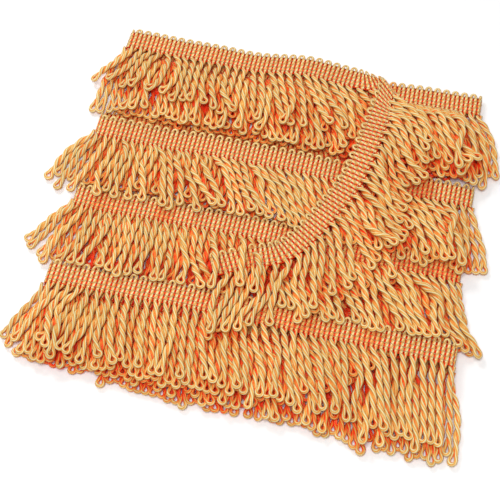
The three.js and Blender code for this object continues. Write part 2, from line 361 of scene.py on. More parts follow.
def at_x(table, x):
    """The table's value at x, or the value itself where there is no table."""
    if not isinstance(table, list):
        return table
    places = np.array(table, float)
    return np.interp(x, places[:, 0], places[:, 1])


def repeat_places():
    """Where the repeats lie along the heading, with their course."""
    owner = np.floor(course_at + 0.5).astype(int)
    return [(i, int(owner[i])) for i in range(2, len(middle) - 3, per_repeat)]


def rope_roots():
    """One row for each rope: its place along the heading, its course and which of the ropes there it is."""
    roots = []
    for i, c in places:
        sets = COURSES[c].get("sets", 1) if SPLAY < middle[i, 0] < ROWS[0]["right"] - SPLAY else 1
        for turn in range(sets):
            at = i + turn * per_repeat // sets
            if 4 < at < len(middle) - 6:
                roots.append((at, c, turn))
    return roots


# A rope is a chain of beads. Ropes that share a place start above each other by SET_RISE, and within
# SPLAY of a fold there is one rope at each place, because ropes splay there.
BEADS = 13
GAP = ROPE / (BEADS - 1)
SET_RISE = 2.2
SPLAY = 9.0

# How far, in degrees, neighbours lean together one way, how much calmer the ropes beneath lie, how
# unevenly a rope curls, as a multiple of how wild it lies, and how unevenly long and high ropes are
DRIFT = 5.0
CALM = 0.2
CURL_SHARE = 2.4
LENGTH_SPREAD = 0.03
RISE_SPREAD = 1.2

# A rope starts this far past the heading's middle, and its first two steps lean straight out of it
ROOT_AT = HEADING / 2 + 0.3
ROOT_PULL = {1: 0.5, 2: 0.1}
places = repeat_places()
roots = rope_roots()
count = len(roots)
slow = np.cumsum(random.normal(0, 1, count))
slow = DRIFT * (slow - np.convolve(slow, np.ones(15) / 15, mode="same"))
beads = np.zeros((count, BEADS, 3))
lengths = np.zeros(count)
for r, (i, c, turn) in enumerate(roots):
    course = COURSES[c]
    in_bed = turn + 1 < course.get("sets", 1)
    wild = course["wild"] * (CALM if in_bed else 1)
    place = middle[i] + across[i] * ROOT_AT
    drift = 0 if in_bed else np.clip(slow[r], -DRIFT, DRIFT)
    first = math.radians(at_x(course["hang"], middle[i, 0]) + drift + random.normal(0, wild / 2))
    curl = math.radians(at_x(course.get("curl", 0), middle[i, 0]) + random.normal(0, wild * CURL_SHARE))
    lengths[r] = GAP * at_x(course.get("reach", 1), middle[i, 0]) * (1 + random.normal(0, LENGTH_SPREAD))
    beads[r, 0] = place
    for b in range(1, BEADS):
        share = (b - 1) / (BEADS - 2)
        bend = first + curl * share * share
        away = np.array([math.cos(bend), math.sin(bend), 0])
        if b in ROOT_PULL:
            away = away + across[i] * [1, 1, 0] * ROOT_PULL[b]
            away /= np.linalg.norm(away)
        place = place + away * lengths[r]
        beads[r, b] = place
    drop = at_x(course["drop"], middle[i, 0]) + turn * SET_RISE + random.uniform(0, RISE_SPREAD)
    beads[r, :, 2] += ease(np.arange(BEADS) / 5) * drop


def neighbours(moving, fixed, reach):
    """Pairs of points nearer than reach: moving with moving, then moving with fixed."""
    found = ([], [])
    by_y = np.argsort(moving[:, 1])
    kinds = []
    for others in (moving, fixed):
        line = np.argsort(others[:, 1])
        kinds.append((others, line, others[line, 1]))
    for low in range(0, len(by_y), 300):
        block = by_y[low:low + 300]
        y = moving[block, 1]
        for kind, (others, line, sorted_y) in enumerate(kinds):
            near = line[np.searchsorted(sorted_y, y[0] - reach):np.searchsorted(sorted_y, y[-1] + reach)]
            gap = ((moving[block][:, None, :] - others[near][None, :, :]) ** 2).sum(2)
            i, j = np.nonzero(gap < reach * reach)
            found[kind].append((block[i], near[j]))
    (ai, aj), (bi, bj) = ([np.concatenate([p[k] for p in pairs]) for k in (0, 1)] for pairs in found)
    apart = (ai < aj) & (ai // BEADS != aj // BEADS)
    return ai[apart], aj[apart], bi, bj


def spread(size, index, vectors):
    """Sum of the vectors at each index, and how many there are."""
    total = np.stack([np.bincount(index, vectors[:, k], size) for k in range(3)], axis=1)
    return total, np.bincount(index, minlength=size)


# Least distances between the middles of two ropes, of a rope and a heading, and of a rope and the floor
ROPE_GAP = 3.85
HEADING_GAP = 2.8
FLOOR_GAP = 2.2

# How the ropes settle: what they keep of their speed, how fast they sink, and how stiff they are
KEPT_SPEED = [0.5, 0.5, 0.8]
SINK = 0.05
STIFFNESS = np.array([0.1, 0.1, 0.22])
PUSH = 0.95
SEARCH = 6.5
SEARCH_EVERY = 6
PASSES = 3
ROUNDS = 120

# The loops lie nearly level: the last beads sink or rise no more than this share of their spacing
TIP_BEADS = 4
TIP_SLOPE = 0.16


def settle(beads, lengths, owner, fixed, fixed_owner):
    """Lets the ropes sink on each other, on the headings and on the floor, without passing through."""
    x = beads.reshape(-1, 3).copy()
    size = len(x)
    order = np.arange(size) % BEADS
    free = order > 1
    before = x.copy()
    rest = np.repeat(lengths[:, None], BEADS - 1, axis=1)
    own_bend = (beads[:, 1:-1] - (beads[:, :-2] + beads[:, 2:]) / 2) * [1, 1, 0]
    lowest = np.where(order == 0, 0.0, np.where(order == 1, FLOOR_GAP - 0.4, FLOOR_GAP))
    for turn in range(ROUNDS):
        if turn % SEARCH_EVERY == 0:
            ai, aj, bi, bj = neighbours(x, fixed, SEARCH)
            rooted = (order[bi] < 3) & (owner[bi // BEADS] == fixed_owner[bj])
            bi, bj = bi[~rooted], bj[~rooted]
            near_root = (order[ai] < 2) & (order[aj] < 2)
            ai, aj = ai[~near_root], aj[~near_root]
        speed = (x - before) * KEPT_SPEED
        before = x.copy()
        x[free] += speed[free] + [0, 0, -SINK]
        for _ in range(PASSES):
            gap = x[ai] - x[aj]
            far = np.linalg.norm(gap, axis=1) + 1e-9
            hit = far < ROPE_GAP
            move = gap[hit] / far[hit, None] * ((ROPE_GAP - far[hit]) * 0.5)[:, None]
            push, hits = spread(size, np.concatenate([ai[hit], aj[hit]]), np.vstack([move, -move]))
            gap = x[bi] - fixed[bj]
            far = np.linalg.norm(gap, axis=1) + 1e-9
            hit = far < HEADING_GAP
            move = gap[hit] / far[hit, None] * (HEADING_GAP - far[hit])[:, None]
            more, more_hits = spread(size, bi[hit], move)
            push = (push + more) / np.maximum(hits + more_hits, 1)[:, None]
            x[free] += push[free] * PUSH
            x[order > 0, 2] = np.maximum(x[order > 0, 2], lowest[order > 0])
            chain = x.reshape(count, BEADS, 3)
            for b in range(1, BEADS):
                gap = chain[:, b] - chain[:, b - 1]
                far = np.linalg.norm(gap, axis=1) + 1e-9
                change = gap * ((far - rest[:, b - 1]) / far)[:, None]
                if b > 2:
                    chain[:, b] -= change * 0.5
                    chain[:, b - 1] += change * 0.5
                elif b == 2:
                    chain[:, b] -= change
            held = chain[:, :2].copy()
            bent = (chain[:, 1:-1] - (chain[:, :-2] + chain[:, 2:]) / 2 - own_bend) * STIFFNESS
            chain[:, 1:-1] -= bent
            chain[:, 2:] += bent / 2
            chain[:, :-2] += bent / 2
            chain[:, :2] = held
            for b in range(BEADS - TIP_BEADS, BEADS):
                most = TIP_SLOPE * rest[:, b - 1]
                chain[:, b, 2] = np.maximum(chain[:, b, 2], chain[:, b - 1, 2] - most)
                over = np.maximum(chain[:, b, 2] - chain[:, b - 1, 2] - most, 0)
                chain[:, b, 2] -= over * 0.5
                chain[:, b - 1, 2] += over * 0.5
            x = chain.reshape(-1, 3)
            x[order > 0, 2] = np.maximum(x[order > 0, 2], lowest[order > 0])
    return x.reshape(count, BEADS, 3)


ACROSS_SPOTS = np.linspace(-HEADING / 2 + 0.8, HEADING / 2 - 0.8, 5)
spots = np.vstack([middle[::2] + across[::2] * w for w in ACROSS_SPOTS])
spot_owner = np.tile(np.round(course_at[::2]), len(ACROSS_SPOTS))
rope_owner = np.array([c for _, c, _ in roots])
beads = settle(beads, lengths, rope_owner, spots, spot_owner)

# Guides: the middle of what repeats, with the directions across it and off it

GUIDE_STEP = 1.0
GUIDE_POINTS = round(ROPE / GUIDE_STEP) + 1


def rope_guides():
    """Even points along each settled rope, with the level direction across it and the one above it."""
    points, sideways, above = [], [], []
    for r in range(count):
        line = smooth_line(beads[r].astype(float), 0.5)
        at = np.linspace(0, len(line) - 1, GUIDE_POINTS)
        line = np.stack([np.interp(at, np.arange(len(line)), line[:, k]) for k in range(3)], axis=1)
        way = np.gradient(line, axis=0)
        way /= np.linalg.norm(way, axis=1)[:, None]
        level = np.stack([-way[:, 1], way[:, 0], 0 * way[:, 0]], axis=1)
        level /= np.linalg.norm(level, axis=1)[:, None]
        points.append(line)
        sideways.append(level)
        above.append(np.cross(way, level))
    return np.vstack(points), np.vstack(sideways), np.vstack(above)


# Half height of a rope, and the most cover that darkens the heading with painted shade
CROWN = 2.2
HEADING_SHADE = 3.2


def top_map(layers):
    """Height of the bundle's top over a grid of 1 mm cells.

    layers: points, each set with the half height of what it carries.
    """
    low = np.floor(np.min([points[:, :2].min(0) for points, _ in layers], axis=0)) - 4
    high = np.ceil(np.max([points[:, :2].max(0) for points, _ in layers], axis=0)) + 4
    tops = np.zeros(tuple((high - low).astype(int)))
    for points, half in layers:
        cell = np.round(points[:, :2] - low).astype(int)
        for dx in (-2, -1, 0, 1, 2):
            for dy in (-2, -1, 0, 1, 2):
                if dx * dx + dy * dy < 6:
                    np.maximum.at(tops, (cell[:, 0] + dx, cell[:, 1] + dy), points[:, 2] + half)
    for axis in (0, 1, 0, 1):
        tops = sum(np.roll(tops, shift, axis) for shift in range(-3, 4)) / 7
    return low, tops


def cover_at(points, half, low, tops):
    """How much of the bundle lies on each point, in millimetres."""
    cell = np.round(points[:, :2] - low).astype(int)
    return np.maximum(tops[cell[:, 0], cell[:, 1]] - points[:, 2] - half, 0)


def guide_object(name, points, sideways, above, cover):
    mesh = bpy.data.meshes.new(name)
    mesh.from_pydata(((points + PLACE) * MM).tolist(), [], [])
    mesh.attributes.new("cover", "FLOAT", "POINT").data.foreach_set("value", cover.astype(np.float32))
    for label, values in (("sideways", sideways), ("above", above)):
        layer = mesh.attributes.new(label, "FLOAT_VECTOR", "POINT")
        layer.data.foreach_set("vector", np.ascontiguousarray(values, np.float32).ravel())
    guide = bpy.data.objects.new(name, mesh)
    bpy.context.scene.collection.objects.link(guide)
    return guide


# Yarn: tubes along a path, with u round the yarn and v along it in millimetres

def tube(path, radius, sides, squash=1.0):
    """Corners, faces and UVs of a closed tube; radius is one value for each point of the path."""
    way = np.gradient(path, axis=0)
    way /= np.linalg.norm(way, axis=1)[:, None]
    first = np.cross(way[0], [0, 1, 0])
    if np.linalg.norm(first) < 0.3:
        first = np.cross(way[0], [1, 0, 0])
    u = first / np.linalg.norm(first)
    rings = []
    angles = np.arange(sides) / sides * 2 * np.pi
    for p, w, r in zip(path, way, radius):
        u = u - w * (u @ w)
        u /= np.linalg.norm(u)
        v = np.cross(w, u)
        ring = p + r * (np.cos(angles)[:, None] * u + np.sin(angles)[:, None] * v)
        rings.append(ring * [1, squash, 1] + p * [0, 1 - squash, 0])
    run = np.concatenate([[0], np.cumsum(np.linalg.norm(np.diff(path, axis=0), axis=1))])
    corners = np.vstack(rings)
    faces, uvs = [], []
    for k in range(len(path) - 1):
        for s in range(sides):
            t = (s + 1) % sides
            faces.append((k * sides + s, k * sides + t, (k + 1) * sides + t, (k + 1) * sides + s))
            a, b = s / sides, (s + 1) / sides
            uvs += [(a, run[k]), (b, run[k]), (b, run[k + 1]), (a, run[k + 1])]
    last = (len(path) - 1) * sides
    faces.append(tuple(reversed(range(sides))))
    faces.append(tuple(last + s for s in range(sides)))
    uvs += [(0.5, 0.0)] * sides + [(0.5, run[-1])] * sides
    return corners, faces, uvs


def yarn_mesh(name, tubes, depth):
    """One mesh of several tubes. depth says how deep in the first one's shade each corner lies, 0 to 1."""
    corners, faces, uvs = [], [], []
    for c, f, u in tubes:
        base = sum(len(x) for x in corners)
        corners.append(c)
        faces += [tuple(i + base for i in face) for face in f]
        uvs += u
    shades = np.concatenate([depth(corners[0]), np.zeros(sum(len(x) for x in corners[1:]))])
    corners = np.vstack(corners)
    mesh = bpy.data.meshes.new(name)
    mesh.from_pydata((corners * MM).tolist(), [], faces)
    layer = mesh.uv_layers.new(name="yarn")
    layer.data.foreach_set("uv", np.array(uvs, np.float32).ravel())
    shade = mesh.attributes.new("depth", "FLOAT", "POINT")
    shade.data.foreach_set("value", shades.astype(np.float32))
    mesh.polygons.foreach_set("use_smooth", [True] * len(mesh.polygons))
    return bpy.data.objects.new(name, mesh)


# Middle of each ply from the rope's own, as a share of the yarn's half thickness, how far from its root
# a rope is fully twisted, and how much slimmer the yarn is there
PLY_SHARE = 0.8
ROOT_RUN = 4.0
ROOT_SLIM = 0.2


def rope_form(name, turns, loop, legs, steps, sides):
    """A two-ply twisted rope along Z that ends in its own loop, as one length of yarn."""
    close = YARN * PLY_SHARE
    loop_centre = ROPE - LOOP_YARN - loop
    neck = loop_centre - legs * loop
    down = np.linspace(0, neck, steps)
    apart = close + (PITCH / 4 - close) * (1 - ease(down / ROOT_RUN))
    phase = -turns * 2 * np.pi * down / neck
    ply = np.stack([apart * np.cos(phase), apart * np.sin(phase), down], axis=1)
    end = phase[-1]
    opening = np.linspace(0, 1, 5)[1:-1]
    leg = np.stack([close + (loop - close) * ease(opening), neck + (loop_centre - neck) * opening], axis=1)
    turn = np.linspace(0, np.pi, 9)
    ring = np.stack([loop * np.cos(turn), loop_centre + loop * np.sin(turn)], axis=1)
    flat = np.vstack([leg, ring, leg[::-1] * [-1, 1]])
    bend = np.stack([flat[:, 0] * math.cos(end), flat[:, 0] * math.sin(end), flat[:, 1]], axis=1)
    path = np.vstack([ply, bend, ply[::-1] * [-1, -1, 1]])
    z = path[:, 2]
    radius = YARN + (LOOP_YARN - YARN) * ease((z - neck + 2) / 4) - ROOT_SLIM * (1 - ease(z / ROOT_RUN))

    # Painted shade: darker and redder where the plies turn in towards each other and on the inside of the
    # loop.
    def depth(corners):
        off_axis = np.hypot(corners[:, 0], corners[:, 1])
        between = 1 - ease((off_axis - 0.4) / 0.7)
        inside = 1 - ease((np.hypot(off_axis, corners[:, 2] - loop_centre) - loop + LOOP_YARN * 0.8) / 0.7)
        in_loop = ease((corners[:, 2] - neck) / 2)
        return 0.7 * between * (1 - in_loop) + 0.45 * inside * in_loop
    return yarn_mesh(name, [tube(path, radius, sides)], depth)


# The heading's lines of stitches, by distance from its back edge, how they pinch the ribs, and their
# thread; how flat a rib is, where it turns into its picot, and how far and how slim that is
STITCH_LINES = [2.3, 4.5, 6.7, 8.9, 11.1]
PINCH = 0.11
PINCH_WIDTH = 0.42
THREAD = 0.2
RIB_FLAT = 0.72
PICOT_AT = 1.2
PICOT_OUT = 1.5
PICOT_SLIM = 0.34


def rib_form(name, steps, sides, stitched):
    """One repeat of the heading: a rib up, a picot loop over and a rib down, with its stitches.

    X is across the heading from its middle to the ropes, Y off its face and Z along it.
    """
    half = PITCH / 4
    run = np.linspace(HEADING / 2 + 0.4, -HEADING / 2 + PICOT_AT, steps)
    up = np.stack([run, 0 * run, 0 * run - half], axis=1)
    arc = np.linspace(0, np.pi, 8)[1:-1]
    over = np.stack([run[-1] - PICOT_OUT * np.sin(arc), 0 * arc, -half * np.cos(arc)], axis=1)
    down = up[::-1] * [1, 1, -1]
    path = np.vstack([up, over, down])
    from_back = path[:, 0] + HEADING / 2
    pinch = sum(np.exp(-((from_back - line) / PINCH_WIDTH) ** 2) for line in STITCH_LINES)
    slim = (1 - PICOT_SLIM) + PICOT_SLIM * ease((from_back - 0.8) / 1.4)
    radius = RIB * (1 - PINCH * np.clip(pinch, 0, 1)) * slim
    tubes = [tube(path, radius, sides, squash=RIB_FLAT)]
    if stitched:
        z = np.linspace(-PITCH / 2, PITCH / 2, 7)
        lift = 0.44 + 0.16 * (1 - np.cos(4 * np.pi * z / PITCH))
        for line in STITCH_LINES:
            for sense in (1, -1):
                x = line - HEADING / 2 + THREAD * sense * np.cos(2 * np.pi * z / PITCH)
                thread = np.stack([x, sense * lift, z], axis=1)
                tubes.append(tube(thread, np.full(len(z), THREAD), 3))

    # Painted shade: darker and redder on the ribs' flanks, where they meet their neighbours, except near the
    # back edge.
    def depth(corners):
        side = 1 - ease((np.abs(corners[:, 1]) - 0.02) / 0.3)
        return side * ease((corners[:, 0] + HEADING / 2 - 0.6) / 1.5)
    return yarn_mesh(name, tubes, depth)


def maths(tree, operation, *values, vector=False):
    """The result of a Math node: each value is a number or another node's output."""
    node = tree.nodes.new("ShaderNodeVectorMath" if vector else "ShaderNodeMath")
    node.operation = operation
    for socket, value in zip(node.inputs, values):
        if hasattr(value, "is_linked"):
            tree.links.new(value, socket)
        else:
            socket.default_value = value
    return node.outputs[0]


# Geometry Nodes: lay a form along guides, once for each point of a host mesh

# Painted shade: depth below the bundle's top from which yarn is painted darker, and how fast it darkens
SHADE_FROM = 1.4
SHADE_GAIN = 0.14

# Keeps the last guide point within reach of the pair of points that a place lies between
NUDGE = 0.0001


def lay_tree():
    """Bends a form along the guides: its Z runs along them, its X and Y lie sideways and above."""
    tree = bpy.data.node_groups.new("Lay yarn along guides", "GeometryNodeTree")
    for label, kind in (("Repeats", "Geometry"), ("Guides", "Object"), ("Forms", "Collection"),
                        ("Guide step", "Float"), ("Flank", "Float"), ("Finish", "Material")):
        tree.interface.new_socket(name=label, in_out="INPUT", socket_type=f"NodeSocket{kind}")
    tree.interface.new_socket(name="Yarn", in_out="OUTPUT", socket_type="NodeSocketGeometry")
    make, link = tree.nodes.new, tree.links.new
    given, result = make("NodeGroupInput"), make("NodeGroupOutput")

    def named(label, kind):
        """The attribute of that name."""
        node = make("GeometryNodeInputNamedAttribute")
        node.data_type = kind
        node.inputs["Name"].default_value = label
        return node.outputs["Attribute"]

    forms = make("GeometryNodeCollectionInfo")
    forms.inputs["Separate Children"].default_value = True
    forms.inputs["Reset Children"].default_value = True
    link(given.outputs["Forms"], forms.inputs["Collection"])
    copies = make("GeometryNodeInstanceOnPoints")
    copies.inputs["Pick Instance"].default_value = True
    link(given.outputs["Repeats"], copies.inputs["Points"])
    link(forms.outputs[0], copies.inputs["Instance"])
    link(named("form", "INT"), copies.inputs["Instance Index"])
    real = make("GeometryNodeRealizeInstances")
    link(copies.outputs[0], real.inputs[0])

    place = make("GeometryNodeInputPosition").outputs[0]
    split = make("ShaderNodeSeparateXYZ")
    link(place, split.inputs[0])
    steps = maths(tree, "DIVIDE", split.outputs["Z"], given.outputs["Guide step"])
    at = maths(tree, "ADD", steps, named("start", "FLOAT"))
    held = maths(tree, "MAXIMUM", at, named("lowest", "FLOAT"))
    held = maths(tree, "MINIMUM", held, named("highest", "FLOAT"))
    low = maths(tree, "FLOOR", maths(tree, "SUBTRACT", held, NUDGE))
    low = maths(tree, "MAXIMUM", low, named("lowest", "FLOAT"))
    share = maths(tree, "SUBTRACT", held, low)
    guides = make("GeometryNodeObjectInfo")
    link(given.outputs["Guides"], guides.inputs["Object"])

    def sampled(value, kind="FLOAT_VECTOR"):
        """The guides' value at the place along them, between the two nearest points."""
        ends = []
        for index in (low, maths(tree, "ADD", low, 1.0)):
            node = make("GeometryNodeSampleIndex")
            node.data_type, node.domain = kind, "POINT"
            link(guides.outputs["Geometry"], node.inputs["Geometry"])
            link(value, node.inputs["Value"])
            link(index, node.inputs["Index"])
            ends.append(node.outputs[0])
        mix = make("ShaderNodeMix")
        mix.data_type = "VECTOR"
        link(share, mix.inputs["Factor"])
        link(ends[0], mix.inputs[4])
        link(ends[1], mix.inputs[5])
        return mix.outputs[1]

    middle_at = sampled(place)
    sideways = sampled(named("sideways", "FLOAT_VECTOR"))
    above = sampled(named("above", "FLOAT_VECTOR"))

    def scaled(vector, by):
        node = make("ShaderNodeVectorMath")
        node.operation = "SCALE"
        link(vector, node.inputs[0])
        link(by, node.inputs["Scale"])
        return node.outputs[0]

    spot = maths(tree, "ADD", middle_at, scaled(sideways, split.outputs["X"]), vector=True)
    spot = maths(tree, "ADD", spot, scaled(above, split.outputs["Y"]), vector=True)
    # Painted shade: yarn with more of the bundle over it, and with Flank a rope's underside below its crown,
    # is stored as more depth, which the finish paints darker and redder.
    cover = sampled(named("cover", "FLOAT"), "FLOAT")
    below_crown = maths(tree, "SUBTRACT", CROWN, maths(tree, "DIVIDE", split.outputs["Y"], MM))
    below_top = maths(tree, "ADD", cover, maths(tree, "MULTIPLY", below_crown, given.outputs["Flank"]))
    shade = maths(tree, "MULTIPLY", maths(tree, "SUBTRACT", below_top, SHADE_FROM), SHADE_GAIN)
    sunk = maths(tree, "ADD", named("depth", "FLOAT"), maths(tree, "MAXIMUM", shade, 0.0))
    store = make("GeometryNodeStoreNamedAttribute")
    store.data_type, store.domain = "FLOAT", "POINT"
    store.inputs["Name"].default_value = "depth"
    link(real.outputs[0], store.inputs["Geometry"])
    link(maths(tree, "MINIMUM", sunk, 1.0), store.inputs["Value"])
    move = make("GeometryNodeSetPosition")
    link(store.outputs[0], move.inputs["Geometry"])
    link(spot, move.inputs["Position"])
    finish = make("GeometryNodeSetMaterial")
    link(move.outputs[0], finish.inputs["Geometry"])
    link(given.outputs["Finish"], finish.inputs["Material"])
    link(finish.outputs[0], result.inputs[0])
    return tree


# Height above the floor at which the lowest yarn is pressed flat
LOWEST = 0.05


def rest_on_floor(mesh):
    """Presses what would reach below the floor flat on it."""
    corners = np.zeros(len(mesh.vertices) * 3, np.float32)
    mesh.vertices.foreach_get("co", corners)
    corners[2::3] = np.maximum(corners[2::3], LOWEST * MM)
    mesh.vertices.foreach_set("co", corners)


def lay(name, tree, guide, forms, step, flank, finish, rows):
    """rows: form, start, lowest and highest guide point and tone of each repeat."""
    host_mesh = bpy.data.meshes.new(name + "_repeats")
    host_mesh.from_pydata([(0, 0, 0)] * len(rows), [], [])
    columns = list(zip(*rows))
    labels = ("form", "start", "lowest", "highest", "tone")
    for label, values in zip(labels, columns):
        kind = "INT" if label == "form" else "FLOAT"
        layer = host_mesh.attributes.new(label, kind, "POINT")
        layer.data.foreach_set("value", list(values))
    host = bpy.data.objects.new(name + "_repeats", host_mesh)
    bpy.context.scene.collection.objects.link(host)
    modifier = host.modifiers.new("lay", "NODES")
    modifier.node_group = tree
    keys = {item.name: item.identifier for item in tree.interface.items_tree if item.in_out == "INPUT"}
    modifier[keys["Guides"]] = guide
    modifier[keys["Forms"]] = forms
    modifier[keys["Guide step"]] = step * MM
    modifier[keys["Flank"]] = flank
    modifier[keys["Finish"]] = finish
    depsgraph = bpy.context.evaluated_depsgraph_get()
    mesh = bpy.data.meshes.new_from_object(host.evaluated_get(depsgraph))
    mesh.name = name
    rest_on_floor(mesh)
    host.modifiers.remove(modifier)
    bpy.data.objects.remove(host)
    piece = bpy.data.objects.new(name, mesh)
    bpy.context.scene.collection.objects.link(piece)
    return piece


# Finishes

def node_material(name):
    material = bpy.data.materials.new(name)
    material.use_nodes = True
    nodes = material.node_tree.nodes
    return material, nodes, material.node_tree.links.new, nodes["Principled BSDF"]


def colour_ramp(nodes, stops):
    ramp = nodes.new("ShaderNodeValToRGB")
    elements = ramp.color_ramp.elements
    while len(elements) < len(stops):
        elements.new(0.5)
    for element, (at, colour) in zip(elements, stops):
        element.position = at
        element.color = (*colour, 1)
    return ramp


# Colours from a yarn's crown to its depths: PALE is painted highlight, GOLD the yarn's own colour, AMBER and
# RIB_AMBER partly painted shade, and the reds painted shade
PALE = (0.82, 0.71, 0.385)
GOLD = (0.765, 0.485, 0.135)
AMBER = (0.81, 0.305, 0.045)
RIB_AMBER = (0.84, 0.36, 0.08)
SHADE_RED = (0.94, 0.04, 0.005)
DEEP_SHADE_RED = (0.60, 0.014, 0.003)


# Yarn: how long its flecks are, how far apart one rope's lie from the next's, how the ridges of its
# threads and the flecks move it along the colours, how much one rope differs from the next, and its
# relief and shine
FLECK_LENGTH = 0.22
ROPE_SHIFT = 40
RIDGE_SHARE = -0.27
BASE_TONE = -0.06
FLECK_SHARE = 0.6
TONE_RANGE = (0.9, 1.06)
BUMP_STRENGTH = 0.7
BUMP_HEIGHT = 0.4
RIDGE_HEIGHT = 0.4
YARN_ROUGHNESS = 0.42
SHEEN_ROUGHNESS = 0.35
SHEEN_TINT = (1.0, 0.82, 0.5, 1)


def yarn_finish(name, lines, plies, slant, colours, gloss=0.22, sheen=0.22):
    """Silky yarn: fine filaments along it, with painted highlight on its crown and painted shade, deep
    orange to red, where it turns inwards and where the depth attribute says it lies in shade.
    """
    material, nodes, link, shader = node_material(name)
    tree = material.node_tree
    uv = nodes.new("ShaderNodeUVMap")
    uv.uv_map = "yarn"
    split = nodes.new("ShaderNodeSeparateXYZ")
    link(uv.outputs[0], split.inputs[0])
    slanted = maths(tree, "MULTIPLY_ADD", split.outputs["Y"], slant, split.outputs["X"])
    tone = nodes.new("ShaderNodeAttribute")
    tone.attribute_name = "tone"
    joined = nodes.new("ShaderNodeCombineXYZ")
    places = ((slanted, lines), (split.outputs["Y"], FLECK_LENGTH), (tone.outputs["Fac"], ROPE_SHIFT))
    for socket, (value, by) in zip(joined.inputs, places):
        link(maths(tree, "MULTIPLY", value, by), socket)
    fibre = nodes.new("ShaderNodeTexNoise")
    fibre.inputs["Scale"].default_value = 1.0
    fibre.inputs["Detail"].default_value = 3.0
    fibre.inputs["Roughness"].default_value = 0.65
    link(joined.outputs[0], fibre.inputs["Vector"])
    depth = nodes.new("ShaderNodeAttribute")
    depth.attribute_name = "depth"
    ridge = maths(tree, "COSINE", maths(tree, "MULTIPLY", slanted, 2 * math.pi * plies))
    # The filament stripes are the yarn's own pattern and painted light at once: their grooves move the
    # colour towards the painted shade, their ridges towards the painted highlight.
    groove = maths(tree, "MULTIPLY_ADD", ridge, RIDGE_SHARE, BASE_TONE)
    fleck = maths(tree, "MULTIPLY_ADD", fibre.outputs["Fac"], FLECK_SHARE, groove)
    # The depth attribute is painted shade: it moves the colour towards amber and red.
    sunk = maths(tree, "ADD", fleck, depth.outputs["Fac"])
    sunk.node.use_clamp = True
    ramp = colour_ramp(nodes, list(zip((0.0, 0.3, 0.58, 1.0), colours)))
    link(sunk, ramp.inputs[0])
    vary = nodes.new("ShaderNodeHueSaturation")
    value = nodes.new("ShaderNodeMapRange")
    value.inputs["To Min"].default_value, value.inputs["To Max"].default_value = TONE_RANGE
    link(tone.outputs["Fac"], value.inputs["Value"])
    link(value.outputs[0], vary.inputs["Value"])
    link(ramp.outputs[0], vary.inputs["Color"])
    link(vary.outputs[0], shader.inputs["Base Color"])
    bump = nodes.new("ShaderNodeBump")
    bump.inputs["Strength"].default_value = BUMP_STRENGTH
    bump.inputs["Distance"].default_value = BUMP_HEIGHT * MM
    height = maths(tree, "MULTIPLY_ADD", ridge, RIDGE_HEIGHT, fibre.outputs["Fac"])
    link(height, bump.inputs["Height"])
    link(bump.outputs[0], shader.inputs["Normal"])
    shader.inputs["Roughness"].default_value = YARN_ROUGHNESS
    shader.inputs["Specular IOR Level"].default_value = gloss
    shader.inputs["Sheen Weight"].default_value = sheen
    shader.inputs["Sheen Roughness"].default_value = SHEEN_ROUGHNESS
    shader.inputs["Sheen Tint"].default_value = SHEEN_TINT
    return material


def floor_finish():
    material, nodes, link, shader = node_material("pale_floor")
    noise = nodes.new("ShaderNodeTexNoise")
    noise.inputs["Scale"].default_value = 60
    ramp = colour_ramp(nodes, [(0.0, (0.90, 0.90, 0.90)), (1.0, (0.93, 0.93, 0.93))])
    link(noise.outputs["Fac"], ramp.inputs[0])
    link(ramp.outputs[0], shader.inputs["Base Color"])
    shader.inputs["Roughness"].default_value = 0.6
    return material


rope_yarn = yarn_finish("silky_rope_yarn", 16.0, 4, 0.05, (PALE, GOLD, AMBER, SHADE_RED))
rib_yarn = yarn_finish("heading_rib_yarn", 12.0, 4, 0.06, (PALE, GOLD, RIB_AMBER, SHADE_RED))
# The heading's ground shows only in the gaps between ribs and under the ropes' roots: its deep reds are
# painted shade.
painted_shade_ground = yarn_finish("heading_ground", 20.0, 12, 0.0, (SHADE_RED, DEEP_SHADE_RED, DEEP_SHADE_RED, DEEP_SHADE_RED), gloss=0.1, sheen=0.0)

# The pieces

tree = lay_tree()


def collection_of(name, forms):
    """A collection of forms, which the tree picks from in the order of their names."""
    group = bpy.data.collections.new(name)
    for form in forms:
        group.objects.link(form)
    return group


# Steps and sides of a rope's yarn where it shows and where others lie on it, and the kinds of rope:
# turns, half width of the loop and length of its legs
FINE, LIGHT = (32, 8), (23, 6)
KIND_SHARES = [0.36, 0.28, 0.22, 0.14]
ROPE_KINDS = [(2.5, 1.65, 1.7), (2.03, 1.75, 1.4), (2.45, 1.55, 2.5), (2.06, 1.7, 1.9)]
rope_forms = collection_of("rope_forms", [
    rope_form(f"rope_{kind}_{n}", *turns_loop, *detail)
    for kind, detail in (("fine", FINE), ("light", LIGHT)) for n, turns_loop in enumerate(ROPE_KINDS)
])
rib_forms = collection_of("rib_forms", [
    rib_form("rib_a_stitched", 22, 6, True),
    rib_form("rib_b_plain", 12, 5, False),
])

rope_lines = rope_guides()
heading_points = np.vstack([middle + across * w for w in np.arange(-HEADING / 2, HEADING / 2 + 0.1, 1.5)])
tops = top_map([(rope_lines[0], CROWN), (heading_points, SHEET / 2)])
rope_guide = guide_object("rope_guides", *rope_lines, cover_at(rope_lines[0], CROWN, *tops))
heading_cover = np.minimum(cover_at(middle, SHEET / 2, *tops), HEADING_SHADE)
heading_guide = guide_object("heading_guide", middle, across, face, heading_cover)

# Which stretch of a course belongs to which node, by x: the courses not named here are one node each
FAR = 999
TAIL_END = 118.5
STRETCHES = {
    "diagonal": [("tail", -FAR, TAIL_END), ("diagonal", TAIL_END, FAR)],
    "row2_under": [("row2_under", -FAR, CROSSING[1]), ("crossing_1", CROSSING[1], FAR)],
    "row3_under": [("row3_under", -FAR, CROSSING[1]), ("crossing_2", CROSSING[1], FAR)],
}

